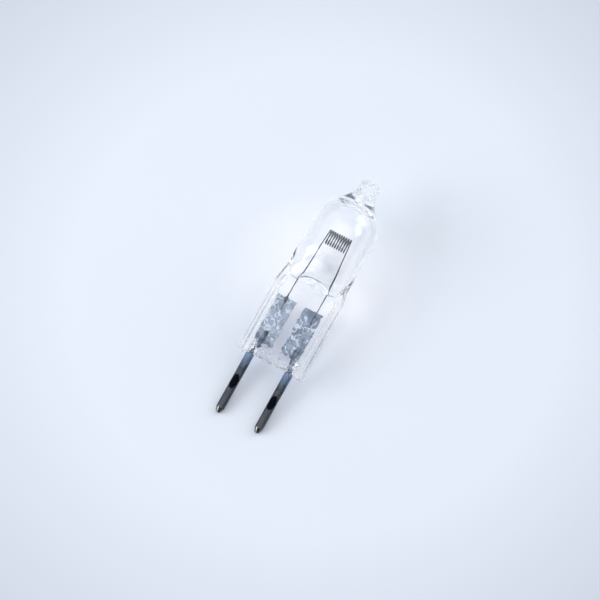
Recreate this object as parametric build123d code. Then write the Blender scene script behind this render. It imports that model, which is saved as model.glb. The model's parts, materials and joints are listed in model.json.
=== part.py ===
from build123d import *
import math
import os

# Projector halogen bulb: a fused-quartz capsule on a flat pinch seal, with two contact pins.
# It is drawn upright about its own axis, with Z = 0 at the pin points, X across the two pins
# and Y through the thickness of the pinch. The finished pieces are then laid on the plane Z = 0
# as the bulb comes to rest, on its pin points and its round shoulder, bulb end towards +Y.
# Sizes are in millimetres.

# Contact pins
PIN_SPACING = 6.35
PIN_DIAMETER = 1.25
PIN_FREE_LENGTH = 9.5  # from the pin point to the end of the pinch
PIN_SEAT_DEPTH = 0.35  # from the end of the pinch to the pin's head, inside its funnel
PIN_POINT_LENGTH = 0.75
PIN_POINT_DIAMETER = 0.6
PIN_HEAD_CHAMFER = 0.2

# Pinch seal
PINCH_LENGTH = 11.4  # from its end to the foot of the shoulder
PINCH_WIDTH = 10.6
WEB_THICKNESS = 2.4
RIB_WIDTH = 1.0
RIB_THICKNESS = 3.4
RIB_ROUND = 0.22
RIB_FADE_LENGTH = 4.8  # along which a rib runs out on the flank of the bulb
RIB_FADE_DEPTH = 0.9  # taken off each side of a rib along that length
RIB_FADE_INSET = 0.6  # taken off its outer edge along that length
FUNNEL_DIAMETER = 2.1
FUNNEL_DEPTH = 2.2

# Bulb
BULB_DIAMETER = 9.7
BULB_WALL = 1.0
SHOULDER_LENGTH = 6.6  # from the foot to the full thickness of the bulb
FLARE_LENGTH = 8.4  # from the foot to where the bulb is round
SHOULDER_FOOT_WIDTH = 10.4  # where the shoulder starts, inside the pinch
SHOULDER_FOOT_THICKNESS = 1.6
BACK_FOOT_DROP = 1.0  # how much lower the shoulder starts on the back, towards +Y
BARREL_LENGTH = 2.4  # round and straight, between the flare and the dome
TIP_HEIGHT = 3.75  # of the exhaust tip above the dome
TIP_DIAMETER = 3.5
TIP_END_DIAMETER = 1.9
TIP_END_LENGTH = 1.0  # along which the melted end draws in
TIP_BROW_SHARE = 0.35  # of that drawing in, before its steeper last stretch
TIP_NECK_RADIUS = 2.0
SHOULDER_SECTIONS = 12
SECTION_POINTS = 36  # round a section that isn't a plain oval

# Cavity
CAVITY_FLOOR_HEIGHT = 1.5  # above the foot of the shoulder
CAVITY_SHOULDER_LENGTH = 5.2
FLOOR_SLIT_WIDTH = 7.8
FLOOR_SLIT_THICKNESS = 0.5
ARCH_RISE = 1.35  # of the quartz that wells up between the legs
ARCH_SPAN = 5.0
ARCH_REACH = 3.0  # to either side, in which the shoulder follows the arch
TIP_BORE_DIAMETER = 1.3
TIP_BORE_END_DIAMETER = 0.35
TIP_BORE_DEPTH = 2.6

# Foils and leads
FOIL_LENGTH = 7.5
FOIL_WIDTH = 3.0
FOIL_THICKNESS = 0.03
FOIL_EDGE_THICKNESS = 0.012
FOIL_EDGE_WIDTH = 0.35  # along which each side thins out
FOIL_SPACING = 4.4
FOIL_SETBACK = 2.4  # from the end of the pinch to the foil
LEAD_DIAMETER = 0.62
LEAD_SPACING = 5.3  # where the leads lie on the foils
LEAD_OVERLAP = 1.8
WELD_DEPTH = 0.02  # how far a welded wire is flattened on its foil

# Filament
WIRE_DIAMETER = 0.19
WIRE_SIDES = 8
LIGHT_CENTRE_LENGTH = 30.0  # from the pin points to the middle of the coil
COIL_TURNS = 10
COIL_PITCH = 0.37
COIL_HEIGHT = 2.35
COIL_DEPTH = 1.0
COIL_BEND_CORNERS = 4  # corners that make a half turn
LEG_SPACING = 4.9
LEG_OVERLAP = 2.0
LEG_STRAIGHT_LENGTH = 0.35  # above the cavity floor, before a leg leans in

# Heights on the axis
PINCH_END = PIN_FREE_LENGTH
SHOULDER_FOOT = PINCH_END + PINCH_LENGTH
FLARE_TOP = SHOULDER_FOOT + FLARE_LENGTH
DOME_BASE = FLARE_TOP + BARREL_LENGTH
DOME_TOP = DOME_BASE + BULB_DIAMETER / 2
CAVITY_FLOOR = SHOULDER_FOOT + CAVITY_FLOOR_HEIGHT
FOIL_BOTTOM = PINCH_END + FOIL_SETBACK
FOIL_TOP = FOIL_BOTTOM + FOIL_LENGTH
PIN_HEAD = PINCH_END + PIN_SEAT_DEPTH

# Radii and depths that follow
BULB_RADIUS = BULB_DIAMETER / 2
CAVITY_RADIUS = BULB_RADIUS - BULB_WALL
FOIL_FACE = LEAD_DIAMETER / 2 - WELD_DEPTH  # the foils lie just behind the leads, which are on Y = 0
LEG_Y = FOIL_FACE + WELD_DEPTH - WIRE_DIAMETER / 2

LARGE = 10 * BULB_DIAMETER  # reach of the profiles that only trim
SIDES = {"left": -1, "right": 1}


def ease(share):
    """0 to 1 with a level start and end."""
    share = min(max(share, 0.0), 1.0)
    return share * share * (3 - 2 * share)


def oval(half_width, half_thickness, height):
    """An elliptical section across the axis that always starts on +X."""
    return Pos(0, 0, height) * scale(Circle(1.0), by=(half_width, half_thickness, 1.0))


def arch_lift(x, height):
    """How far the arch lifts the shoulder: most in the middle, and not at all where the bulb is round."""
    sideways = ease(abs(x) / ARCH_REACH)
    upwards = ease((height - CAVITY_FLOOR) / CAVITY_SHOULDER_LENGTH)
    return ARCH_RISE * (1 - sideways) * (1 - upwards)


def opened(foot_size, full_size, share):
    """A size that grows from the foot of a shoulder to its top."""
    return foot_size + (full_size - foot_size) * ease(share)


def shoulder_section(height, half_width, front, back):
    """An oval across the axis, with half thickness front(x) on one side and back(x) on the other."""
    if front(0) == back(0) and arch_lift(0, height) == 0:
        return oval(half_width, front(0), height)
    points = []
    for index in range(SECTION_POINTS):
        angle = 2 * math.pi * index / SECTION_POINTS
        x = half_width * math.cos(angle)
        half_thickness = back(x) if angle < math.pi else front(x)
        points.append((x, half_thickness * math.sin(angle), height))
    return make_face(Spline(*points, periodic=True))


def section_heights(low, high):
    return [low + (high - low) * index / (SHOULDER_SECTIONS - 1) for index in range(SHOULDER_SECTIONS)]


def outer_shoulder():
    """From a flat foot inside the pinch to the round bulb. In front it follows the arch."""
    foot = SHOULDER_FOOT_THICKNESS / 2
    sections = []
    for height in section_heights(SHOULDER_FOOT - BACK_FOOT_DROP, FLARE_TOP):
        rise = height - SHOULDER_FOOT

        def front(x):
            return opened(foot, BULB_RADIUS, (rise - arch_lift(x, height)) / SHOULDER_LENGTH)

        def back(x):
            return opened(foot, BULB_RADIUS, (rise + BACK_FOOT_DROP) / (SHOULDER_LENGTH + BACK_FOOT_DROP))

        half_width = opened(SHOULDER_FOOT_WIDTH / 2, BULB_RADIUS, rise / FLARE_LENGTH)
        sections.append(shoulder_section(height, half_width, front, back))
    return loft(sections, ruled=True)


def cavity_shoulder():
    """From the slit to the round hollow. Front and back follow the arch."""
    sections = []
    for height in section_heights(CAVITY_FLOOR, CAVITY_FLOOR + CAVITY_SHOULDER_LENGTH):
        rise = height - CAVITY_FLOOR

        def half_thickness(x):
            share = (rise - arch_lift(x, height)) / CAVITY_SHOULDER_LENGTH
            return opened(FLOOR_SLIT_THICKNESS / 2, CAVITY_RADIUS, share)

        half_width = opened(FLOOR_SLIT_WIDTH / 2, CAVITY_RADIUS, rise / CAVITY_SHOULDER_LENGTH)
        sections.append(shoulder_section(height, half_width, half_thickness, half_thickness))
    return loft(sections, ruled=True)


def domed_barrel(radius, base, dome_base):
    """A round bar from base to dome_base with a hemisphere on top."""
    profile = make_face(
        Polyline((0, dome_base + radius), (0, base), (radius, base), (radius, dome_base))
        + CenterArc((0, dome_base), radius, 0, 90)
    )
    return revolve(Plane.XZ * profile, Axis.Z)


def exhaust_tip():
    """The stub of the exhaust tube, melted shut with a blunt end."""
    radius = TIP_DIAMETER / 2
    end_radius = TIP_END_DIAMETER / 2
    brow_radius = radius - (radius - end_radius) * TIP_BROW_SHARE
    top = DOME_TOP + TIP_HEIGHT
    profile = make_face(
        Polyline(
            (0, DOME_BASE),
            (radius, DOME_BASE),
            (radius, top - TIP_END_LENGTH),
            (brow_radius, top - TIP_END_LENGTH * TIP_BROW_SHARE),
            (end_radius, top),
            (0, top),
            close=True,
        )
    )
    return revolve(Plane.XZ * profile, Axis.Z)


def bulb_with_tip():
    """Dome and barrel with the exhaust tip blended on."""
    body = domed_barrel(BULB_RADIUS, FLARE_TOP, DOME_BASE) + exhaust_tip()
    neck = [
        edge
        for edge in body.edges().filter_by(GeomType.CIRCLE)
        if abs(edge.radius - TIP_DIAMETER / 2) < 1e-3 and edge.center().Z < DOME_TOP
    ]
    return fillet(neck, TIP_NECK_RADIUS)


def pinch_section():
    """The pinch across the axis: a web with a rib along each edge, front and back."""
    section = Rectangle(PINCH_WIDTH, WEB_THICKNESS)
    for side in SIDES.values():
        rib_x = side * (PINCH_WIDTH - RIB_WIDTH) / 2
        section += Pos(rib_x, 0) * Rectangle(RIB_WIDTH, RIB_THICKNESS)
    step = (RIB_THICKNESS - WEB_THICKNESS) / 2
    return fillet(section.vertices(), min(RIB_ROUND, 0.45 * step))


def pinch():
    """The pressed seal, with ribs that run out on the flanks of the bulb."""
    fade_start = SHOULDER_FOOT
    fade_end = SHOULDER_FOOT + RIB_FADE_LENGTH
    bar = extrude(Pos(0, 0, PINCH_END) * pinch_section(), fade_end - PINCH_END, dir=(0, 0, 1))

    def trim(half_wide, half_narrow):
        """A profile as wide as the pinch up to the fade, and narrower at its end."""
        return make_face(
            Polyline(
                (-half_wide, PINCH_END),
                (half_wide, PINCH_END),
                (half_wide, fade_start),
                (half_narrow, fade_end),
                (-half_narrow, fade_end),
                (-half_wide, fade_start),
                close=True,
            )
        )

    front = trim(PINCH_WIDTH / 2, PINCH_WIDTH / 2 - RIB_FADE_INSET)
    side = trim(RIB_THICKNESS / 2, RIB_THICKNESS / 2 - RIB_FADE_DEPTH)
    bar &= extrude(Plane.XZ * front, LARGE, both=True)
    bar &= extrude(Plane.YZ * side, LARGE, both=True)
    return bar


def cavity():
    """The sealed hollow: a slit floor with an arch, opening to the round bulb and the tip's bore."""
    hollow = cavity_shoulder() + domed_barrel(CAVITY_RADIUS, CAVITY_FLOOR + CAVITY_SHOULDER_LENGTH, DOME_BASE)
    bore_foot = DOME_BASE + CAVITY_RADIUS - BULB_WALL / 2
    bore_top = DOME_BASE + CAVITY_RADIUS + TIP_BORE_DEPTH
    hollow += Pos(0, 0, bore_foot) * Cone(
        TIP_BORE_DIAMETER / 2,
        TIP_BORE_END_DIAMETER / 2,
        bore_top - bore_foot,
        align=(Align.CENTER, Align.CENTER, Align.MIN),
    )
    arch_radius = (ARCH_SPAN**2 / 4 + ARCH_RISE**2) / (2 * ARCH_RISE)
    arch_centre = CAVITY_FLOOR + ARCH_RISE - arch_radius
    hollow -= Pos(0, 0, arch_centre) * Rot(X=90) * Cylinder(arch_radius, LARGE)
    return hollow


def contact_pin(side):
    """A solid pin with a blunt cone for a point and a chamfered head."""
    radius = PIN_DIAMETER / 2
    profile = make_face(
        Polyline(
            (0, 0),
            (PIN_POINT_DIAMETER / 2, 0),
            (radius, PIN_POINT_LENGTH),
            (radius, PIN_HEAD - PIN_HEAD_CHAMFER),
            (radius - PIN_HEAD_CHAMFER, PIN_HEAD),
            (0, PIN_HEAD),
            close=True,
        )
    )
    return Pos(side * PIN_SPACING / 2, 0, 0) * revolve(Plane.XZ * profile, Axis.Z)


def funnel(side):
    """The hollow that the quartz leaves round a lead at the end of the pinch."""
    return Pos(side * PIN_SPACING / 2, 0, PINCH_END) * Cone(
        FUNNEL_DIAMETER / 2,
        LEAD_DIAMETER / 2,
        FUNNEL_DEPTH,
        align=(Align.CENTER, Align.CENTER, Align.MIN),
    )


def foil(side):
    """A thin strip with sides that thin out to an edge, so that the quartz seals on it."""
    half = FOIL_WIDTH / 2
    flat = half - FOIL_EDGE_WIDTH
    back = FOIL_THICKNESS
    lip_front = (FOIL_THICKNESS - FOIL_EDGE_THICKNESS) / 2
    lip_back = lip_front + FOIL_EDGE_THICKNESS
    section = make_face(
        Polyline(
            (-flat, 0),
            (flat, 0),
            (half, lip_front),
            (half, lip_back),
            (flat, back),
            (-flat, back),
            (-half, lip_back),
            (-half, lip_front),
            close=True,
        )
    )
    place = Pos(side * FOIL_SPACING / 2, FOIL_FACE, FOIL_BOTTOM)
    return place * extrude(section, FOIL_LENGTH, dir=(0, 0, 1))


def wire(points, section):
    """A wire of the given section along straight runs."""
    path = Polyline(*points)
    start = Plane(path @ 0, z_dir=path % 0)
    return sweep(start * section, path=path, transition=Transition.RIGHT)


def lead(side):
    """The lead from a pin's head to its foil, flattened where it is welded on."""
    pin_x = side * PIN_SPACING / 2
    foil_x = side * LEAD_SPACING / 2
    points = [
        (pin_x, 0, PIN_HEAD),
        (foil_x, 0, FOIL_BOTTOM),
        (foil_x, 0, FOIL_BOTTOM + LEAD_OVERLAP),
    ]
    rod = wire(points, Circle(LEAD_DIAMETER / 2))
    floor = Pos(0, 0, PIN_HEAD) * Box(
        LARGE, LARGE, LARGE, align=(Align.CENTER, Align.CENTER, Align.MIN)
    )
    return (rod & floor) - foil(side)


def half_turn(x, way, centre_height, radius):
    """Corners of a bend of the coil, over the top from front to back or under from back to front."""
    reach = radius / math.cos(math.pi / (2 * COIL_BEND_CORNERS))
    corners = []
    for corner in range(COIL_BEND_CORNERS):
        angle = math.pi * (corner + 0.5) / COIL_BEND_CORNERS
        y = -way * reach * math.cos(angle)
        corners.append((x, y, centre_height + way * reach * math.sin(angle)))
    return corners


def filament():
    """One tungsten wire: up the left leg, round the flat coil and down the right leg."""
    bend_radius = (COIL_DEPTH - WIRE_DIAMETER) / 2
    half_strand = (COIL_HEIGHT - COIL_DEPTH) / 2
    leg_end = FOIL_TOP - LEG_OVERLAP
    leg_kink = CAVITY_FLOOR + LEG_STRAIGHT_LENGTH

    points = [(-LEG_SPACING / 2, LEG_Y, leg_end), (-LEG_SPACING / 2, LEG_Y, leg_kink)]
    for turn in range(COIL_TURNS):
        x = (turn - COIL_TURNS / 2) * COIL_PITCH
        if turn > 0:
            points += half_turn(x, -1, LIGHT_CENTRE_LENGTH - half_strand, bend_radius)
        points += half_turn(x + COIL_PITCH / 2, 1, LIGHT_CENTRE_LENGTH + half_strand, bend_radius)
    points += [(LEG_SPACING / 2, LEG_Y, leg_kink), (LEG_SPACING / 2, LEG_Y, leg_end)]

    # A wire this thin is drawn with flat sides, and with the section area of the round one.
    turn_share = 2 * math.pi / WIRE_SIDES
    corner_radius = WIRE_DIAMETER / 2 * math.sqrt(turn_share / math.sin(turn_share))
    coil = wire(points, RegularPolygon(corner_radius, WIRE_SIDES))
    for side in SIDES.values():
        coil -= foil(side)
    return coil


def quartz_outside():
    """Pinch, shoulder, bulb and tip as one solid bar of quartz."""
    return bulb_with_tip() + outer_shoulder() + pinch()


def rest_tilt(outside, pin):
    """Pitch of the axis, in degrees, at which pin points and bulb both touch the floor."""

    def lift(shape, tilt):
        return (Rot(X=tilt - 90) * shape).bounding_box().min.Z

    low, high = 0.0, 45.0
    for _ in range(30):
        tilt = (low + high) / 2
        if lift(pin, tilt) > lift(outside, tilt):
            low = tilt
        else:
            high = tilt
    return (low + high) / 2


def build():
    """Every piece by name, laid at rest with the origin under the middle of the bulb."""
    outside = quartz_outside()
    pieces = {"filament": filament()}
    for name, side in SIDES.items():
        pieces[f"foil_{name}"] = foil(side)
        pieces[f"lead_{name}"] = lead(side)
        pieces[f"contact_pin_{name}"] = contact_pin(side)
    quartz = outside - cavity()
    for side in SIDES.values():
        quartz -= funnel(side)
    for piece in list(pieces.values()):
        quartz -= piece
    pieces["quartz_envelope"] = quartz

    tilt = rest_tilt(outside, pieces["contact_pin_left"])
    laid = {name: Rot(X=tilt - 90) * piece for name, piece in pieces.items()}
    box = laid["quartz_envelope"].bounding_box().add(laid["contact_pin_left"].bounding_box())
    place = Pos(0, -box.center().Y, -box.min.Z)
    return {name: place * piece for name, piece in laid.items()}


os.makedirs("parts", exist_ok=True)
for node, piece in build().items():
    export_step(piece, f"parts/{node}.step")
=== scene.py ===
import json
import math

import bpy
import numpy as np
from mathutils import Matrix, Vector


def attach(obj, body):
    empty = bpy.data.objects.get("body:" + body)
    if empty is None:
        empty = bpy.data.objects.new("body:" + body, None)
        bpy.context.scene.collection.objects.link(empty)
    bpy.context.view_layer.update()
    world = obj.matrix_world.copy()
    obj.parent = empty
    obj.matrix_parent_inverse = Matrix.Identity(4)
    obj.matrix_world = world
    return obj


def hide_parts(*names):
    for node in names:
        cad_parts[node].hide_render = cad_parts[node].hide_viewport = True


# Projector halogen bulb, lying on a pale table.
# Shapes are drawn upright in millimetres: x across the pins, y through the pinch (towards the table)
# and t along the axis from the pin points. place() lays them where the solids lie.

MM = 0.001

# Contact pins
PIN_SPACING = 6.35
PIN_POINT_LENGTH = 0.75
# The black spot on each pin is painted: it stands for the reflection of a dark object.
REFLECTION_SPOT_HEIGHT = 4.9  # of the middle of the black spot on a pin
REFLECTION_SPOT_LENGTH = 2.5
REFLECTION_SPOT_WIDTH = 1.15

# Pinch seal
PINCH_END = 9.5
PINCH_LENGTH = 11.4
PINCH_WIDTH = 10.6
PINCH_END_ROUND = 0.25
PINCH_SIDE_ROUND = 0.1
WEB_THICKNESS = 2.4
WEB_MIDDLE = 3.6  # the web is uneven up to here, to either side
WEB_MIDDLE_FADE = 0.6
PRESS_TOP = 20.0  # the press has marked the web below this height
PRESS_FADE = 1.0
BREAK_TOP = 12.6  # the web is broken below this height
BREAK_FADE = 1.8
RIB_WIDTH = 1.0
RIB_THICKNESS = 3.4
RIB_ROUND = 0.22
RIB_FADE_LENGTH = 4.8  # along which the ribs run out on the flanks of the bulb
RIB_FADE_DEPTH = 1.2
RIB_FADE_INSET = 0.9
FUNNEL_DIAMETER = 2.1
FUNNEL_DEPTH = 2.2
FUNNEL_SLANT = 0.93  # distance from the cone's wall for each millimetre sideways
LEAD_DIAMETER = 0.62

# Bulb
BULB_RADIUS = 4.85
BULB_WALL = 1.0
FLARE_LENGTH = 8.4
BARREL_LENGTH = 2.4
DOME_POWER = 2.4  # 2 is a ball, more is fuller
SHOULDER_LENGTH = 6.6
SHOULDER_FOOT_WIDTH = 10.0
SHOULDER_FOOT_THICKNESS = 1.6
SHOULDER_BLEND = 0.7  # fillet between pinch and shoulder
RIB_END_BLEND = 0.05  # the same fillet where the ribs run out
BLEND_FADE = 1.6  # how much sooner than the ribs the fillet draws in
BACK_FOOT_DROP = 1.0
TIP_HEIGHT = 3.75
TIP_RADIUS = 1.75
TIP_END_ROUND = 1.1
TIP_NECK_RADIUS = 2.0
TIP_OFFSET = 0.25
TIP_BEND = 35.5  # the tip leaves the axis above this height
TIP_BEND_LENGTH = 3.0
CRUMBLE_FOOT = 36.8  # the tip is crumbled above this height
CRUMBLE_FADE = 1.2

# Cavity
CAVITY_FLOOR_HEIGHT = 1.5
CAVITY_SHOULDER_LENGTH = 5.2
CAVITY_FLOOR_WIDTH = 7.8
FLOOR_EDGE_RADIUS = 0.6
ARCH_RISE = 1.35
ARCH_SPAN = 5.0
ARCH_REACH = 3.0
WING_RISE = 0.12  # of the slit beside the arch
WING_LENGTH = 1.2
SLIT_REACH = 0.9  # how far up the cavity keeps the slit's own arch
TIP_BORE_RADIUS = 0.65
TIP_BORE_END_RADIUS = 0.175
TIP_BORE_DEPTH = 2.6
BORE_MEET_POWER = 6  # how closely the dome is followed up to the bore
BORE_END_POWER = 8  # how blunt the bore ends

# Unevenness of the quartz and the foils: depth of the waves and their length
WEB_WAVES = [(0.09, 1.7)]
PRESS_WAVES = [(0.1, 0.9)]
BREAK_WAVES = [(0.42, 1.6)]
END_WAVES = [(0.4, 1.7), (0.16, 0.75)]
FUNNEL_WAVES = [(0.15, 1.1)]
TIP_WAVES = [(0.2, 1.5), (0.15, 0.7)]
FOIL_WAVE_DEPTH = 0.05
FOIL_WAVE_LENGTH = 1.6

# Mesh of the quartz
SKIN_STEP = 0.12
SKIN_INSET = 0.07  # keeps the skin within the box of the solids
SKIN_LOW = (-5.6, -5.2, 9.1)  # two corners of a box round the quartz
SKIN_HIGH = (5.6, 5.2, 40.7)

# Foils
FOIL_SETBACK = 2.4
FOIL_LENGTH = 7.5
FOIL_WIDTH = 3.0
FOIL_THICKNESS = 0.03
FOIL_EDGE_THICKNESS = 0.012
FOIL_EDGE_SHARE = 0.12  # of the width, along which each side thins out
FOIL_SPACING = 4.4
FOIL_SHIFT = 0.2
WELD_DEPTH = 0.02

# Filament
WIRE_DIAMETER = 0.19
WIRE_SHARE = 0.9  # of that diameter, as the wire looks in the photograph
WIRE_STEP = 0.06
LIGHT_CENTRE = 30.0
COIL_TURNS = 10
COIL_PITCH = 0.37
COIL_HEIGHT = 2.35
COIL_DEPTH = 1.0
COIL_BEND_STEPS = 12
COIL_BEND_LEAN = COIL_PITCH / 8
LEG_SPACING = 4.9
LEG_OVERLAP = 2.0
LEG_STRAIGHT_LENGTH = 0.35
LEG_BEND_LENGTH = 0.2
LEG_BEND_LEAN = 0.01
BEAD_HEIGHT = 19.2  # of the weld bead on the left leg
BEAD_LENGTH = 0.4
BEAD_SHARE = 1.5  # of the wire's diameter, added at the bead

# Heights and radii that follow
SHOULDER_FOOT = PINCH_END + PINCH_LENGTH
DOME_BASE = SHOULDER_FOOT + FLARE_LENGTH + BARREL_LENGTH
TIP_TOP = DOME_BASE + BULB_RADIUS + TIP_HEIGHT
CAVITY_RADIUS = BULB_RADIUS - BULB_WALL
CAVITY_FLOOR = SHOULDER_FOOT + CAVITY_FLOOR_HEIGHT
CAVITY_TOP = DOME_BASE + CAVITY_RADIUS
TIP_BORE_TOP = CAVITY_TOP + TIP_BORE_DEPTH
FOIL_BOTTOM = PINCH_END + FOIL_SETBACK
FOIL_TOP = FOIL_BOTTOM + FOIL_LENGTH
FOIL_MIDDLE = LEAD_DIAMETER / 2 - WELD_DEPTH + FOIL_THICKNESS / 2
LEG_Y = LEAD_DIAMETER / 2 - WIRE_DIAMETER / 2
LEG_END = FOIL_TOP - LEG_OVERLAP
LEG_KINK = CAVITY_FLOOR + LEG_STRAIGHT_LENGTH

# Camera, from the places of pins, coil and tip in the photograph
CAMERA_AZIMUTH = 29.2
CAMERA_ELEVATION = 69.5
CAMERA_DISTANCE = 450.0
SENSOR_WIDTH = 36.0
IMAGE_SIZE = 600
PIXELS_PER_MM = 6.957
AIM_HEIGHT = 4.0
AIM_PIXEL = (304.9, 299.7)

# Table and light, with lengths in metres
LIGHT_BOUNCES = 40  # light runs far inside clear quartz before it gets out
WHITE = (1.0, 1.0, 1.0)
TABLE_HALF_SIZE = 1.5
TABLE_MIDDLE = (0.0, 0.004, 0.0)
TABLE_SPREAD = 0.1
# Painted light on the table under the bulb stands in for light that passes through the quartz; the edge
# colour is painted shade, where light falls off far out.
TABLE_PAINTED_LIGHT_COLOR = (0.9, 0.93, 1.0)
TABLE_COLOR = (0.74, 0.795, 0.89)
TABLE_FALLOFF_SHADE_COLOR = (0.535, 0.577, 0.663)
LAMP_DISTANCE = 0.6
SKY_STRENGTH = 1.15
FRONT_DARK = -0.78  # y of a direction in front, beyond which the sky is darkest
FRONT_LIGHT = -0.52  # y of a direction, from which on the sky has all its light
FRONT_SHARE = 0.2  # of the sky's light that is left in front

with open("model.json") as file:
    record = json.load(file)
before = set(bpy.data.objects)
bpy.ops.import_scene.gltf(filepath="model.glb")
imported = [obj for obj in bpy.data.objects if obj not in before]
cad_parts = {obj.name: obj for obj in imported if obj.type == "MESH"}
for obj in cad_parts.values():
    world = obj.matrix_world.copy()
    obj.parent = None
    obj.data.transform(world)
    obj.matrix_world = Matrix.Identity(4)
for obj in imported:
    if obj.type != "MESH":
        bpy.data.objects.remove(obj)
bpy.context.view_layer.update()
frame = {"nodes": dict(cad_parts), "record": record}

mounts = {mount["name"]: mount for mount in frame["record"]["mounts"]}
left_pin = mounts["contact_pin_left"]
right_pin = mounts["contact_pin_right"]
ALONG = -Vector(left_pin["axis"]).normalized()
ACROSS = Vector((1.0, 0.0, 0.0))
THROUGH = ALONG.cross(ACROSS)
AXES = np.array([ACROSS, THROUGH, ALONG])
pin_middle = (Vector(left_pin["pos_m"]) + Vector(right_pin["pos_m"])) / 2
ORIGIN = pin_middle - ALONG * (PIN_POINT_LENGTH + left_pin["dims"]["length_mm"] / 2) * MM


def place(points):
    """Upright millimetres to metres where the bulb lies."""
    return np.array(ORIGIN) + MM * np.asarray(points, float) @ AXES


def ease(share):
    """0 to 1 with a level start and end."""
    share = np.clip(share, 0.0, 1.0)
    return share * share * (3 - 2 * share)


def mix(low, high, share):
    return low + (high - low) * share


def new_piece(name, points, faces, material, node, normals=None):
    """A smooth mesh piece that stands for a node of the solids. Normals of zero are left to the faces."""
    mesh = bpy.data.meshes.new(name)
    mesh.from_pydata([tuple(p) for p in place(points)], [], [tuple(int(i) for i in f) for f in faces])
    mesh.polygons.foreach_set("use_smooth", [True] * len(mesh.polygons))
    if normals is not None:
        mesh.normals_split_custom_set_from_vertices(normals @ AXES)
    mesh.materials.append(material)
    piece = bpy.data.objects.new(name, mesh)
    bpy.context.scene.collection.objects.link(piece)
    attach(piece, "root")
    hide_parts(node)
    return piece


# Quartz, as a distance field that is negative inside the glass


def round_union(a, b, radius):
    """Two shapes with a fillet of the given radius where they meet."""
    near_a = np.maximum(radius - a, 0.0)
    near_b = np.maximum(radius - b, 0.0)
    return np.maximum(radius, np.minimum(a, b)) - np.hypot(near_a, near_b)


def round_cut(a, b, radius):
    """What is in both shapes, with its edges rounded."""
    return -round_union(-a, -b, radius)


def rounded_box(x, y, half_width, half_height, radius):
    over_x = np.abs(x) - half_width + radius
    over_y = np.abs(y) - half_height + radius
    outside = np.hypot(np.maximum(over_x, 0.0), np.maximum(over_y, 0.0))
    return outside + np.minimum(np.maximum(over_x, over_y), 0.0) - radius


def oval(x, y, half_width, half_thickness):
    share = np.hypot(x / half_width, y / half_thickness)
    slope = np.hypot(x / half_width**2, y / half_thickness**2)
    return (share - 1) * share / np.maximum(slope, 1e-9)


def ripple(x, y, t, length):
    """Smooth unevenness from 0 to 1 with waves of about the given length."""
    k = 2 * math.pi / length
    a = np.sin(k * (0.83 * x + 0.41 * y + 0.37 * t) + 0.4)
    b = np.sin(k * (-0.52 * x + 0.77 * y + 0.71 * t) + 2.1)
    c = np.sin(k * (0.27 * x - 0.63 * y + 1.09 * t) + 4.4)
    d = np.sin(k * (1.21 * x + 0.35 * y - 0.48 * t) + 1.3)
    return 0.5 + (a * b + c * d) / 4


def uneven(waves, x, y, t):
    """How deep the surface lies under its even form."""
    return sum(depth * ripple(x, y, t, length) for depth, length in waves)


def arch_lift(x, t):
    """How far the arch lifts the shoulder: most in the middle, and not at all where the bulb is round."""
    sideways = ease(np.abs(x) / ARCH_REACH)
    upwards = ease((t - CAVITY_FLOOR) / CAVITY_SHOULDER_LENGTH)
    return ARCH_RISE * (1 - sideways) * (1 - upwards)


def shoulder_half(rise, length=SHOULDER_LENGTH):
    """Half the thickness of the glass body at a height over the shoulder's foot."""
    return mix(SHOULDER_FOOT_THICKNESS / 2, BULB_RADIUS, ease(rise / length))


def bulb_field(x, y, t):
    """Shoulder, barrel and dome. The shoulder follows the arch in front and starts lower on the back."""
    rise = t - SHOULDER_FOOT
    half_width = mix(SHOULDER_FOOT_WIDTH / 2, BULB_RADIUS, ease(rise / FLARE_LENGTH))
    front = shoulder_half(rise - arch_lift(x, t))
    back = shoulder_half(rise + BACK_FOOT_DROP, SHOULDER_LENGTH + BACK_FOOT_DROP)
    barrel = oval(x, y, half_width, np.where(y < 0, front, back))
    dome_rise = np.maximum(t - DOME_BASE, 0.0)
    dome = (np.hypot(x, y) ** DOME_POWER + dome_rise**DOME_POWER) ** (1 / DOME_POWER) - BULB_RADIUS
    return np.maximum(np.where(t > DOME_BASE, dome, barrel), SHOULDER_FOOT - BACK_FOOT_DROP - t)


def tip_field(x, y, t):
    """The stub of the exhaust tube, a little off the axis and crumbled at its end."""
    middle = (DOME_BASE + TIP_TOP) / 2
    offset = TIP_OFFSET * ease((t - TIP_BEND) / TIP_BEND_LENGTH)
    bar = rounded_box(np.hypot(x - offset, y), t - middle, TIP_RADIUS, TIP_TOP - middle, TIP_END_ROUND)
    return bar + uneven(TIP_WAVES, x, y, t) * ease((t - CRUMBLE_FOOT) / CRUMBLE_FADE)


def rib_fade(t):
    """0 along the pinch and 1 where its ribs have run out on the flanks of the bulb."""
    return np.clip((t - SHOULDER_FOOT) / RIB_FADE_LENGTH, 0.0, 1.0)


def pinch_field(x, y, t):
    """A web with a rib along each edge. The web is rippled by the press and broken at its end."""
    fade = rib_fade(t)
    edge = PINCH_WIDTH / 2 - RIB_FADE_INSET * fade
    rib_height = RIB_THICKNESS / 2 - RIB_FADE_DEPTH * fade
    web = rounded_box(x, y, edge, WEB_THICKNESS / 2, RIB_ROUND)
    rib = rounded_box(np.abs(x) - edge + RIB_WIDTH / 2, y, RIB_WIDTH / 2, rib_height, RIB_ROUND)
    middle = 1 - ease((np.abs(x) - WEB_MIDDLE) / WEB_MIDDLE_FADE)
    pressed = ease((PRESS_TOP - t) / PRESS_FADE)
    broken = ease((BREAK_TOP - t) / BREAK_FADE)
    sunk = uneven(WEB_WAVES, x, y, t)
    sunk = sunk + pressed * uneven(PRESS_WAVES, x, y, t) + broken * uneven(BREAK_WAVES, x, y, t)
    section = round_union(web + middle * sunk, rib, RIB_ROUND)
    end = PINCH_END - t + middle * uneven(END_WAVES, x, y, t)
    top = t - SHOULDER_FOOT - RIB_FADE_LENGTH
    return np.maximum(round_cut(section, end, PINCH_END_ROUND), top)


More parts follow.
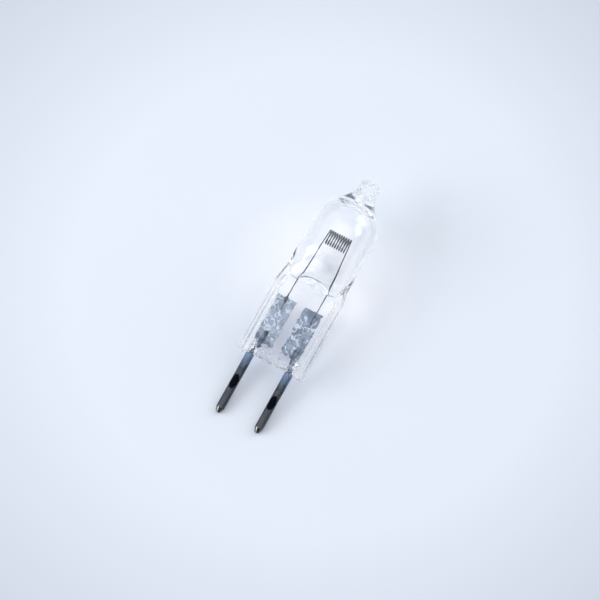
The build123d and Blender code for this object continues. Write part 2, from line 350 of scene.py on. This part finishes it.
def funnel_field(x, y, t):
    """The uneven hollow round each lead at the end of the pinch."""
    rise = t - PINCH_END
    radius = mix(FUNNEL_DIAMETER / 2, LEAD_DIAMETER / 2, rise / FUNNEL_DEPTH)
    cone = np.hypot(np.abs(x) - PIN_SPACING / 2, y) - radius
    return np.maximum(FUNNEL_SLANT * cone + uneven(FUNNEL_WAVES, x, y, t), rise - FUNNEL_DEPTH)


def quartz_field(points):
    x, y, t = points[..., 0], points[..., 1], points[..., 2]
    outside = round_union(bulb_field(x, y, t), tip_field(x, y, t), TIP_NECK_RADIUS)
    blend_radius = mix(SHOULDER_BLEND, RIB_END_BLEND, ease(BLEND_FADE * rib_fade(t)))
    outside = round_union(outside, pinch_field(x, y, t), blend_radius)
    outside = np.maximum(outside, -funnel_field(x, y, t))
    return round_cut(outside, np.abs(x) - PINCH_WIDTH / 2, PINCH_SIDE_ROUND) + SKIN_INSET


def field_slope(field, points, reach):
    rises = [field(points + reach * axis) - field(points - reach * axis) for axis in np.eye(3)]
    return np.stack(rises, -1) / (2 * reach)


def skin(field, low, high, step, pulls=4, least_slope=0.05):
    """Faces on the zero surface of a field, one corner to each grid cell that the surface crosses."""
    spans = [np.arange(a, b + step, step) for a, b in zip(low, high)]
    grid = np.stack(np.meshgrid(*spans, indexing="ij"), -1)
    value = field(grid)
    inside = value < 0
    corners = inside[:-1, :-1, :-1].astype(np.int8)
    nx, ny, nz = (n - 1 for n in inside.shape)
    for i, j, k in ((1, 0, 0), (0, 1, 0), (0, 0, 1), (1, 1, 0), (1, 0, 1), (0, 1, 1), (1, 1, 1)):
        corners = corners + inside[i : i + nx, j : j + ny, k : k + nz]
    crossed = (corners > 0) & (corners < 8)
    number = np.full(crossed.shape, -1)
    number[crossed] = np.arange(crossed.sum())
    points = grid[:-1, :-1, :-1][crossed] + step / 2

    # Each corner is then drawn onto the surface along the slope of the field.
    for _ in range(pulls):
        slope = field_slope(field, points, step / 4)
        pull = field(points) / np.maximum((slope**2).sum(-1), least_slope)
        points = points - np.clip(pull, -step, step)[:, None] * slope
    slope = field_slope(field, points, step / 4)
    normals = slope / np.linalg.norm(slope, axis=-1)[:, None]

    faces = []
    for axis in range(3):
        u, v = (axis + 1) % 3, (axis + 2) % 3
        first = np.moveaxis(inside, (axis, u, v), (0, 1, 2))
        cells = np.moveaxis(number, (axis, u, v), (0, 1, 2))
        near, far = first[:-1, 1:-1, 1:-1], first[1:, 1:-1, 1:-1]
        ring = np.stack([cells[:, :-1, :-1], cells[:, 1:, :-1], cells[:, 1:, 1:], cells[:, :-1, 1:]], -1)
        faces.append(ring[near & ~far])
        faces.append(ring[~near & far][:, ::-1])
    return points, np.concatenate(faces), normals


def cavity_half(rise, reach=0.01):
    """Half the thickness of the cavity: an even wall inside the shoulder, a rounded slit at the floor."""
    foot = CAVITY_FLOOR - SHOULDER_FOOT
    slope = (shoulder_half(foot + rise + reach) - shoulder_half(foot + rise - reach)) / (2 * reach)
    walled = max(shoulder_half(foot + rise) - BULB_WALL * math.hypot(1.0, slope), 0.0)
    slit = math.sqrt(2 * FLOOR_EDGE_RADIUS * rise) * (1 - rise / CAVITY_SHOULDER_LENGTH) ** 2
    return min(math.hypot(walled, slit), CAVITY_RADIUS)


def slit_over_arch(x):
    """How far the slit, a round arch with level wings, lies over the smoother arch of the shoulder."""
    arch_radius = (ARCH_SPAN**2 / 4 + ARCH_RISE**2) / (2 * ARCH_RISE)
    arch = np.sqrt(np.maximum(arch_radius**2 - x**2, 0.0)) - arch_radius + ARCH_RISE
    wing = WING_RISE * ease((np.abs(x) - ARCH_SPAN / 2) / WING_LENGTH)
    return np.maximum(arch, 0.0) + wing - ARCH_RISE * (1 - ease(np.abs(x) / ARCH_REACH))


def level_line(x, rise, rounds=8):
    """Height of a level line of the cavity after the arch has lifted it."""
    t = np.full_like(x, CAVITY_FLOOR + rise)
    for _ in range(rounds):
        t = CAVITY_FLOOR + rise + arch_lift(x, t)
    return t + slit_over_arch(x) * (1 - ease(rise / SLIT_REACH))


def cavity_radius(t):
    """Radius of the round cavity: barrel, dome, and the bore of the tip with its blunt end."""
    rise = max(t - DOME_BASE, 0.0)
    dome = max(CAVITY_RADIUS**DOME_POWER - rise**DOME_POWER, 0.0) ** (1 / DOME_POWER)
    if t <= DOME_BASE:
        return dome
    share = max((t - CAVITY_TOP) / (TIP_BORE_TOP - CAVITY_TOP), 0.0)
    blunt = math.sqrt(max(1 - share**BORE_END_POWER, 0))
    bore = mix(TIP_BORE_RADIUS, TIP_BORE_END_RADIUS, share) * blunt
    return (dome**BORE_MEET_POWER + bore**BORE_MEET_POWER) ** (1 / BORE_MEET_POWER)


def cavity_shell(sides=128, floor_rings=44, barrel_rings=40, dome_rings=44, bore_rings=23):
    """Rings from the slit floor up through the round bulb into the bore of the tip."""
    angle = 2 * np.pi * np.arange(sides) / sides
    rings = []
    for share in (np.arange(1, floor_rings + 1) / floor_rings) ** 2:
        rise = share * CAVITY_SHOULDER_LENGTH
        x = mix(CAVITY_FLOOR_WIDTH / 2, CAVITY_RADIUS, ease(share)) * np.cos(angle)
        rings.append(np.stack([x, cavity_half(rise) * np.sin(angle), level_line(x, rise)], -1))
    low = CAVITY_FLOOR + CAVITY_SHOULDER_LENGTH
    climb = np.linspace(0, math.pi / 2, dome_rings + 1)[1:]
    heights = list(np.linspace(low, DOME_BASE, barrel_rings + 1)[1:])
    heights += [DOME_BASE + CAVITY_RADIUS * math.sin(a) for a in climb]
    heights += list(np.linspace(CAVITY_TOP, TIP_BORE_TOP, bore_rings + 1)[1:])
    for t in heights:
        radius = cavity_radius(t)
        rings.append(np.stack([radius * np.cos(angle), radius * np.sin(angle), np.full(sides, t)], -1))
    return rings


def quartz_envelope(material):
    """Outer skin and sealed cavity as one closed piece of glass."""
    outer, outer_faces, normals = skin(quartz_field, SKIN_LOW, SKIN_HIGH, SKIN_STEP)
    rings = cavity_shell()
    sides = len(rings[0])
    x = CAVITY_FLOOR_WIDTH / 2 * np.cos(2 * np.pi * np.arange(sides // 2 + 1) / sides)
    slit = np.stack([x, np.zeros_like(x), level_line(x, 0.0)], -1)
    inner = np.concatenate([slit] + rings)
    faces = []

    def slit_index(k):
        return k if k <= sides // 2 else sides - k

    start = len(slit)
    for k in range(sides):
        after = (k + 1) % sides
        faces.append([slit_index(k), start + k, start + after, slit_index(after)])
        for ring in range(len(rings) - 1):
            a = start + ring * sides
            b = a + sides
            faces.append([a + k, b + k, b + after, a + after])
    faces.append([len(inner) - sides + k for k in range(sides)][::-1])
    shifted = [[i + len(outer) for i in face] for face in faces]
    points = np.concatenate([outer, inner])
    faces = list(outer_faces) + shifted
    normals = np.concatenate([normals, np.zeros_like(inner)])
    return new_piece("quartz_glass", points, faces, material, "quartz_envelope", normals)


# Metal pieces


def filament_path():
    """The wire's line: left leg, ten flat turns, right leg."""
    bend = (COIL_DEPTH - WIRE_DIAMETER) / 2
    half_strand = (COIL_HEIGHT - COIL_DEPTH) / 2
    leg = LEG_SPACING / 2
    points = [(-leg, LEG_Y, LEG_END), (-leg, LEG_Y, LEG_KINK - LEG_BEND_LENGTH)]
    points.append((-leg + LEG_BEND_LEAN, LEG_Y, LEG_KINK))
    for turn in range(COIL_TURNS):
        x = (turn - COIL_TURNS / 2) * COIL_PITCH
        for way, shift in ((-1, 0.0), (1, COIL_PITCH / 2)):
            if turn == 0 and way < 0:
                continue
            for step in range(COIL_BEND_STEPS + 1):
                share = step / COIL_BEND_STEPS
                angle = math.pi * share
                y = -way * bend * math.cos(angle)
                t = LIGHT_CENTRE + way * (half_strand + bend * math.sin(angle))
                points.append((x + shift + (share - 0.5) * COIL_BEND_LEAN, y, t))
    points.append((leg - LEG_BEND_LEAN, LEG_Y, LEG_KINK))
    points += [(leg, LEG_Y, LEG_KINK - LEG_BEND_LENGTH), (leg, LEG_Y, LEG_END)]
    return np.array(points)


def tube(path, radius, sides=14):
    """A closed round tube along a line, with a radius for each point."""
    tangent = np.gradient(path, axis=0)
    tangent /= np.linalg.norm(tangent, axis=1)[:, None]
    normal = np.cross(tangent[0], (0.0, 1.0, 0.0))
    normal /= np.linalg.norm(normal)
    angle = 2 * np.pi * np.arange(sides) / sides
    rings = []
    for point, along, r in zip(path, tangent, radius):
        normal = normal - along * (normal @ along)
        normal /= np.linalg.norm(normal)
        side = np.cross(along, normal)
        rings.append(point + r * (np.cos(angle)[:, None] * normal + np.sin(angle)[:, None] * side))
    faces = []
    for ring in range(len(rings) - 1):
        a = ring * sides
        for k in range(sides):
            after = (k + 1) % sides
            faces.append([a + k, a + after, a + sides + after, a + sides + k])
    last = (len(rings) - 1) * sides
    faces.append(list(range(sides))[::-1])
    faces.append([last + k for k in range(sides)])
    return np.concatenate(rings), faces


def resample(path, spacing):
    """The same line with points at an even spacing."""
    lengths = np.concatenate([[0], np.cumsum(np.linalg.norm(np.diff(path, axis=0), axis=1))])
    count = int(lengths[-1] / spacing)
    even = np.linspace(0, lengths[-1], count + 1)
    return np.stack([np.interp(even, lengths, path[:, axis]) for axis in range(3)], -1)


def filament(material):
    """One wire, with a weld bead on its left leg."""
    path = resample(filament_path(), WIRE_STEP)
    bead = np.exp(-(((path[:, 2] - BEAD_HEIGHT) / BEAD_LENGTH) ** 2)) * (path[:, 0] < 0)
    points, faces = tube(path, WIRE_DIAMETER / 2 * (WIRE_SHARE + BEAD_SHARE * bead))
    return new_piece("filament_wire", points, faces, material, "filament")


def foil(name, side, material, columns=30, rows=75):
    """A rippled strip of foil with sides that thin out."""
    across = np.linspace(-0.5, 0.5, columns + 1)
    up = np.linspace(0.0, 1.0, rows + 1)
    u, v = np.meshgrid(across, up, indexing="ij")
    x = side * FOIL_SPACING / 2 - FOIL_SHIFT + u * FOIL_WIDTH
    t = mix(FOIL_BOTTOM, FOIL_TOP, v)
    wave = FOIL_WAVE_DEPTH * (ripple(x, 0 * x, t, FOIL_WAVE_LENGTH) - 0.5)
    edge = ease((np.abs(u) - 0.5 + FOIL_EDGE_SHARE) / FOIL_EDGE_SHARE)
    thickness = mix(FOIL_THICKNESS, FOIL_EDGE_THICKNESS, edge)
    front = np.stack([x, FOIL_MIDDLE - thickness / 2 + wave, t], -1).reshape(-1, 3)
    back = np.stack([x, FOIL_MIDDLE + thickness / 2 + wave, t], -1).reshape(-1, 3)
    count = len(front)
    faces = []

    def index(i, j):
        return i * (rows + 1) + j

    for i in range(columns):
        for j in range(rows):
            quad = [index(i, j), index(i + 1, j), index(i + 1, j + 1), index(i, j + 1)]
            faces.append(quad)
            faces.append([count + k for k in quad[::-1]])
    rim = [index(i, 0) for i in range(columns)] + [index(columns, j) for j in range(rows)]
    rim += [index(i, rows) for i in range(columns, 0, -1)] + [index(0, j) for j in range(rows, 0, -1)]
    for a, b in zip(rim, rim[1:] + rim[:1]):
        faces.append([b, a, count + a, count + b])
    points = np.concatenate([front, back])
    return new_piece(f"{name}_sheet", points, faces, material, name)


# Materials


def new_material(name):
    material = bpy.data.materials.new(name)
    material.use_nodes = True
    nodes = material.node_tree.nodes
    return material, nodes, material.node_tree.links, nodes["Principled BSDF"]


def grey(value):
    return (value, value, value)


def noise(nodes, links, scale, detail=3.0, roughness=0.5):
    """Noise in the object's own coordinates, so many waves to a millimetre."""
    coordinate = nodes.new("ShaderNodeTexCoord")
    texture = nodes.new("ShaderNodeTexNoise")
    texture.inputs["Scale"].default_value = scale / MM
    texture.inputs["Detail"].default_value = detail
    texture.inputs["Roughness"].default_value = roughness
    links.new(coordinate.outputs["Object"], texture.inputs["Vector"])
    return texture.outputs["Fac"]


def ramp(nodes, links, source, stops):
    """Colours at the given places between 0 and 1 of the source."""
    node = nodes.new("ShaderNodeValToRGB")
    while len(node.color_ramp.elements) < len(stops):
        node.color_ramp.elements.new(0.5)
    for element, (position, color) in zip(node.color_ramp.elements, stops):
        element.position = position
        element.color = (*color, 1.0)
    links.new(source, node.inputs["Fac"])
    return node.outputs["Color"]


def bump(nodes, links, source, shader, distance, strength=1.0):
    node = nodes.new("ShaderNodeBump")
    node.inputs["Strength"].default_value = strength
    node.inputs["Distance"].default_value = distance * MM
    links.new(source, node.inputs["Height"])
    links.new(node.outputs["Normal"], shader.inputs["Normal"])


def measure(nodes, links, direction):
    """Distance from the middle of the pin points along one direction of the bulb, in millimetres."""
    coordinate = nodes.new("ShaderNodeTexCoord")
    offset = nodes.new("ShaderNodeVectorMath")
    offset.operation = "SUBTRACT"
    offset.inputs[1].default_value = ORIGIN
    links.new(coordinate.outputs["Object"], offset.inputs[0])
    along = nodes.new("ShaderNodeVectorMath")
    along.operation = "DOT_PRODUCT"
    along.inputs[1].default_value = direction / MM
    links.new(offset.outputs["Vector"], along.inputs[0])
    return along.outputs["Value"]


def calc(nodes, links, operation, *values):
    """One step of arithmetic on numbers or node outputs."""
    node = nodes.new("ShaderNodeMath")
    node.operation = operation
    for socket, value in zip(node.inputs, values):
        if isinstance(value, (int, float)):
            socket.default_value = value
        else:
            links.new(value, socket)
    return node.outputs["Value"]


def blend(nodes, links, share, low, high, way="MIX"):
    """Colour low where the share is 0 and colour high where it is 1."""
    node = nodes.new("ShaderNodeMixRGB")
    node.blend_type = way
    for socket, value in zip(node.inputs, (share, low, high)):
        if isinstance(value, tuple):
            socket.default_value = (*value, 1.0)
        elif isinstance(value, float):
            socket.default_value = value
        else:
            links.new(value, socket)
    return node.outputs["Color"]


def scaled(nodes, links, source, low, high):
    """0 to 1 as the source goes from low to high."""
    node = nodes.new("ShaderNodeMapRange")
    node.inputs["From Min"].default_value = low
    node.inputs["From Max"].default_value = high
    links.new(source, node.inputs["Value"])
    return node.outputs["Result"]


def quartz_material():
    """Clear glass with the faintest blue haze."""
    material, nodes, links, shader = new_material("fused_quartz")
    shader.inputs["Transmission Weight"].default_value = 1.0
    shader.inputs["IOR"].default_value = 1.458
    shader.inputs["Roughness"].default_value = 0.0
    haze = noise(nodes, links, 0.5, 4.0)
    tint = ramp(nodes, links, haze, [(0.3, (0.99, 0.995, 1.0)), (0.7, WHITE)])
    links.new(tint, shader.inputs["Base Color"])
    return material


def metal_material(name, dark, light, roughness, grain):
    """Drawn or rolled metal with stains and a fine grain."""
    material, nodes, links, shader = new_material(name)
    shader.inputs["Metallic"].default_value = 1.0
    stain = noise(nodes, links, grain, 5.0, 0.6)
    links.new(ramp(nodes, links, stain, [(0.3, dark), (0.7, light)]), shader.inputs["Base Color"])
    rough = ramp(nodes, links, stain, [(0.3, grey(roughness + 0.12)), (0.7, grey(roughness))])
    links.new(rough, shader.inputs["Roughness"])
    bump(nodes, links, noise(nodes, links, grain * 4, 4.0), shader, 0.02, 0.4)
    return material


def foil_material():
    """Rolled foil with a heat-stained grain and the ridges that the press left on it, with painted
    highlights on the ridges and painted shade on their flanks.
    """
    material, nodes, links, shader = new_material("molybdenum_foil")
    shader.inputs["Metallic"].default_value = 1.0
    stain = noise(nodes, links, 0.8, 5.0, 0.6)
    color = ramp(nodes, links, stain, [(0.3, (0.15, 0.195, 0.28)), (0.7, (0.4, 0.485, 0.63))])

    # Ridges follow the middle level of a coarse noise and are broken here and there; their pale colour is
    # a painted highlight and their darker flanks are painted shade.
    relief = noise(nodes, links, 1.1, 1.0, 0.4)
    away = calc(nodes, links, "ABSOLUTE", calc(nodes, links, "SUBTRACT", relief, 0.5))
    broken = scaled(nodes, links, noise(nodes, links, 0.45, 1.0), 0.38, 0.5)
    ridge_and_highlight = calc(nodes, links, "MULTIPLY", scaled(nodes, links, away, 0.07, 0.035), broken)
    flank_shade = calc(nodes, links, "MULTIPLY", scaled(nodes, links, away, 0.13, 0.08), 0.5)
    color = blend(nodes, links, flank_shade, color, (0.1, 0.13, 0.18))
    color = blend(nodes, links, ridge_and_highlight, color, (0.7, 0.78, 0.9))

    # The left foil is a little hazier, and both have dark patches at their lower ends.
    left = scaled(nodes, links, measure(nodes, links, ACROSS), -0.4, -0.8)
    color = blend(nodes, links, calc(nodes, links, "MULTIPLY", left, 0.15), color, (0.75, 0.82, 0.94))
    end = scaled(nodes, links, measure(nodes, links, ALONG), 14.2, 11.6)
    patch = scaled(nodes, links, noise(nodes, links, 1.3, 3.0), 0.5, 0.62)
    color = blend(nodes, links, calc(nodes, links, "MULTIPLY", end, patch), color, (0.07, 0.085, 0.11))
    links.new(color, shader.inputs["Base Color"])
    rough = ramp(nodes, links, ridge_and_highlight, [(0.0, grey(0.34)), (1.0, grey(0.6))])
    links.new(rough, shader.inputs["Roughness"])
    bump(nodes, links, calc(nodes, links, "ADD", ridge_and_highlight, stain), shader, 0.03, 0.6)
    return material


def heat_color(nodes, links, height, stain):
    """Colour along a pin: grey at the point, darker in the middle and bluish under the pinch."""
    stops = [
        (0.0, (0.17, 0.175, 0.18)),
        (0.07, (0.19, 0.195, 0.2)),
        (0.1, (0.13, 0.138, 0.15)),
        (0.38, (0.115, 0.13, 0.16)),
        (0.64, (0.115, 0.13, 0.16)),
        (0.72, (0.1, 0.115, 0.135)),
        (0.79, (0.16, 0.215, 0.3)),
        (1.0, (0.3, 0.41, 0.6)),
    ]
    zone = calc(nodes, links, "MULTIPLY_ADD", stain, 0.8, height)
    return ramp(nodes, links, scaled(nodes, links, zone, 0.4, 10.4), stops)


def scratches(nodes, links, height, side):
    """Fine darker lines that run across a pin at a slant."""
    lines = nodes.new("ShaderNodeTexNoise")
    lines.noise_dimensions = "1D"
    lines.inputs["Scale"].default_value = 5.0
    links.new(calc(nodes, links, "MULTIPLY_ADD", side, 1.7, height), lines.inputs["W"])
    return ramp(nodes, links, lines.outputs["Fac"], [(0.35, grey(0.35)), (0.62, grey(1.0))])


def painted_dark_reflection(nodes, links, height, across, side, stain):
    """A black oval of painted dark reflection on each pin, a little lower on the right one, with an
    uneven edge.
    """
    level = calc(nodes, links, "MULTIPLY_ADD", across, 0.04, height)
    long_way = calc(nodes, links, "SUBTRACT", level, REFLECTION_SPOT_HEIGHT)
    reaches = []
    for distance, size in ((long_way, REFLECTION_SPOT_LENGTH), (side, REFLECTION_SPOT_WIDTH)):
        share = calc(nodes, links, "DIVIDE", distance, size / 2)
        reaches.append(calc(nodes, links, "POWER", calc(nodes, links, "ABSOLUTE", share), 2.0))
    reach = calc(nodes, links, "ADD", *reaches)
    return scaled(nodes, links, calc(nodes, links, "MULTIPLY_ADD", stain, 0.9, reach), 1.5, 1.25)


def black_specks(nodes, links, height):
    """Specks in a belt over the painted dark reflection."""
    speck = scaled(nodes, links, noise(nodes, links, 1.9, 2.0), 0.56, 0.66)
    stops = [(0.0, grey(0)), (0.3, grey(0.9)), (0.7, grey(0.7)), (1.0, grey(0))]
    belt = ramp(nodes, links, scaled(nodes, links, height, 6.0, 8.2), stops)
    return calc(nodes, links, "MULTIPLY", speck, belt)


def pin_material():
    """Heat-stained and scratched rod with black specks, a black oval of painted dark reflection and a
    smoother point.
    """
    material, nodes, links, shader = new_material("pin_metal")
    shader.inputs["Metallic"].default_value = 1.0
    height = measure(nodes, links, ALONG)
    across = measure(nodes, links, ACROSS)
    side = calc(nodes, links, "SUBTRACT", calc(nodes, links, "ABSOLUTE", across), PIN_SPACING / 2)
    stain = noise(nodes, links, 0.9, 4.0, 0.6)
    color = heat_color(nodes, links, height, stain)
    scratched = scaled(nodes, links, stain, 0.2, 0.5)
    color = blend(nodes, links, scratched, color, scratches(nodes, links, height, side), "MULTIPLY")
    dark_reflection_spot = painted_dark_reflection(nodes, links, height, across, side, stain)
    # The black specks are stains; the black oval is a painted reflection of a dark object.
    dark = calc(nodes, links, "MAXIMUM", dark_reflection_spot, black_specks(nodes, links, height))
    color = blend(nodes, links, dark, color, (0.004, 0.005, 0.008))
    links.new(color, shader.inputs["Base Color"])
    grain = noise(nodes, links, 6.0, 4.0)
    rough = ramp(nodes, links, grain, [(0.3, grey(0.45)), (0.7, grey(0.3))])
    point = scaled(nodes, links, height, 1.0, 0.7)
    links.new(blend(nodes, links, point, rough, grey(0.16)), shader.inputs["Roughness"])
    bump(nodes, links, grain, shader, 0.02, 0.5)
    return material


def dress_node(node, material):
    """A node of the solids keeps its form and gets a finished surface."""
    mesh = frame["nodes"][node].data
    mesh.materials.clear()
    mesh.materials.append(material)


# Table, light and camera


def table_material():
    """Pale blue, with painted light under the bulb and painted shade that turns it greyer away from it.
    """
    material, nodes, links, shader = new_material("pale_table")
    coordinate = nodes.new("ShaderNodeTexCoord")
    distance = nodes.new("ShaderNodeVectorMath")
    distance.operation = "DISTANCE"
    distance.inputs[1].default_value = TABLE_MIDDLE
    links.new(coordinate.outputs["Object"], distance.inputs[0])
    stops = [
        (0.0, TABLE_PAINTED_LIGHT_COLOR),
        (0.05, TABLE_PAINTED_LIGHT_COLOR),
        (0.15, TABLE_COLOR),
        (0.36, TABLE_COLOR),
        (0.75, TABLE_FALLOFF_SHADE_COLOR),
    ]
    spread = scaled(nodes, links, distance.outputs["Value"], 0.0, TABLE_SPREAD)
    links.new(ramp(nodes, links, spread, stops), shader.inputs["Base Color"])
    shader.inputs["Roughness"].default_value = 0.7
    shader.inputs["Specular IOR Level"].default_value = 0.1
    return material


def table_top():
    half = TABLE_HALF_SIZE
    corners = [(-half, -half, 0.0), (half, -half, 0.0), (half, half, 0.0), (-half, half, 0.0)]
    mesh = bpy.data.meshes.new("table_top")
    mesh.from_pydata(corners, [], [(0, 1, 2, 3)])
    mesh.materials.append(table_material())
    floor = bpy.data.objects.new("table_top", mesh)
    bpy.context.scene.collection.objects.link(floor)


def sky():
    """A pale room, greyer low down and darker in front of the bulb."""
    world = bpy.data.worlds.new("pale_room")
    bpy.context.scene.world = world
    world.use_nodes = True
    nodes, links = world.node_tree.nodes, world.node_tree.links
    coordinate = nodes.new("ShaderNodeTexCoord")
    parts = nodes.new("ShaderNodeSeparateXYZ")
    links.new(coordinate.outputs["Generated"], parts.inputs["Vector"])
    stops = [
        (0.0, (0.03, 0.035, 0.045)),
        (0.15, (0.1, 0.105, 0.12)),
        (0.32, (0.36, 0.37, 0.39)),
        (0.6, (0.6, 0.605, 0.62)),
        (1.0, WHITE),
    ]
    height = ramp(nodes, links, parts.outputs["Z"], stops)
    front = scaled(nodes, links, parts.outputs["Y"], FRONT_DARK, FRONT_LIGHT)
    front = ramp(nodes, links, front, [(0.0, grey(FRONT_SHARE)), (1.0, WHITE)])
    color = blend(nodes, links, 1.0, height, front, "MULTIPLY")
    links.new(color, nodes["Background"].inputs["Color"])
    nodes["Background"].inputs["Strength"].default_value = SKY_STRENGTH


def soft_light(name, direction, size, power, color=WHITE):
    data = bpy.data.lights.new(name, "AREA")
    data.shape = "RECTANGLE"
    data.size, data.size_y = size
    data.energy = power
    data.color = color
    light = bpy.data.objects.new(name, data)
    toward = Vector(direction).normalized()
    light.location = toward * LAMP_DISTANCE
    light.rotation_euler = toward.to_track_quat("Z", "Y").to_euler()
    bpy.context.scene.collection.objects.link(light)


def camera():
    azimuth, elevation = math.radians(CAMERA_AZIMUTH), math.radians(CAMERA_ELEVATION)
    level = math.cos(elevation)
    back = Vector((math.sin(azimuth) * level, -math.cos(azimuth) * level, math.sin(elevation)))
    right = Vector((math.cos(azimuth), math.sin(azimuth), 0.0))
    up = back.cross(right)
    slide_x = (IMAGE_SIZE / 2 - AIM_PIXEL[0]) / PIXELS_PER_MM * MM
    slide_y = (AIM_PIXEL[1] - IMAGE_SIZE / 2) / PIXELS_PER_MM * MM
    aim = Vector((0, 0, AIM_HEIGHT * MM)) + right * slide_x + up * slide_y
    data = bpy.data.cameras.new("camera")
    data.sensor_width = SENSOR_WIDTH
    data.lens = SENSOR_WIDTH * CAMERA_DISTANCE * PIXELS_PER_MM / IMAGE_SIZE
    data.clip_start = 0.01
    view = bpy.data.objects.new("camera", data)
    view.location = aim + back * CAMERA_DISTANCE * MM
    view.rotation_euler = back.to_track_quat("Z", "Y").to_euler()
    bpy.context.scene.collection.objects.link(view)
    bpy.context.scene.camera = view


quartz_envelope(quartz_material())
filament(metal_material("tungsten", (0.032, 0.038, 0.055), (0.11, 0.125, 0.165), 0.35, 3.0))
foil_metal = foil_material()
foil("foil_left", -1, foil_metal)
foil("foil_right", 1, foil_metal)
lead_metal = metal_material("molybdenum_wire", (0.012, 0.016, 0.03), (0.3, 0.37, 0.52), 0.35, 1.2)
dress_node("lead_left", lead_metal)
dress_node("lead_right", lead_metal)
pin_metal = pin_material()
dress_node("contact_pin_left", pin_metal)
dress_node("contact_pin_right", pin_metal)

table_top()
sky()
soft_light("left_soft", (-0.76, -0.5, 0.42), (0.5, 0.35), 2.5)
soft_light("back_soft", (0.63, 0.71, 0.31), (0.34, 0.5), 1.3, (1.0, 0.985, 0.965))
soft_light("back_strip", (-0.1, 0.97, 0.2), (0.8, 0.1), 0.4)
camera()

bpy.context.scene.view_settings.view_transform = "Standard"
bpy.context.scene.cycles.blur_glossy = 0.0
bpy.context.scene.cycles.max_bounces = LIGHT_BOUNCES
bpy.context.scene.cycles.transmission_bounces = LIGHT_BOUNCES
bpy.context.scene.cycles.glossy_bounces = LIGHT_BOUNCES
